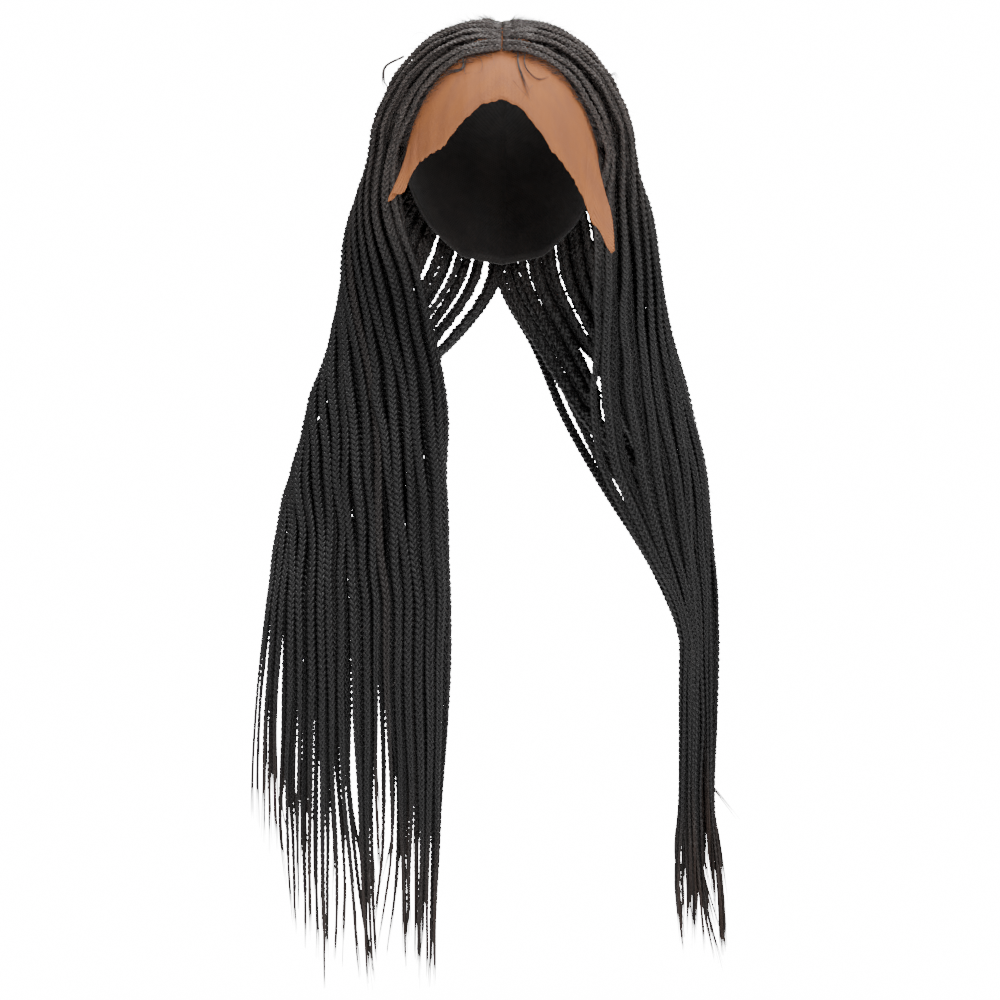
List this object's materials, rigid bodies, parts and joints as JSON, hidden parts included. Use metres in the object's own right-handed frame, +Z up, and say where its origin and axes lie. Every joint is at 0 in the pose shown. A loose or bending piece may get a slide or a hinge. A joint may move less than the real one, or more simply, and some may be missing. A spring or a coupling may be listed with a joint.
{
  "type": "braid wig",
  "caption": "Lace front wig of long thin box braids with a middle part: net cap, sheer lace from ear to ear, braids that fall forward at the left and behind at the right",
  "frame": {"origin": "The inside top of the cap, where it sits on the crown of a head", "axes": "+Z up, -Y the front with the forehead lace, +X the viewer's right"},
  "size_m": [0.3636, 0.2166, 0.7573],
  "materials": {
    "braid_hair": "plaited synthetic hair with a soft sheen",
    "cap_net": "stretch net",
    "lace": "sheer mesh"
  },
  "bodies": {
    "root": {"cap": "cap_net", "lace_front": "lace", "left_top_braids": "braid_hair", "left_under_braids": "braid_hair", "right_top_braids": "braid_hair", "right_under_braids": "braid_hair"}
  },
  "joints": []
}
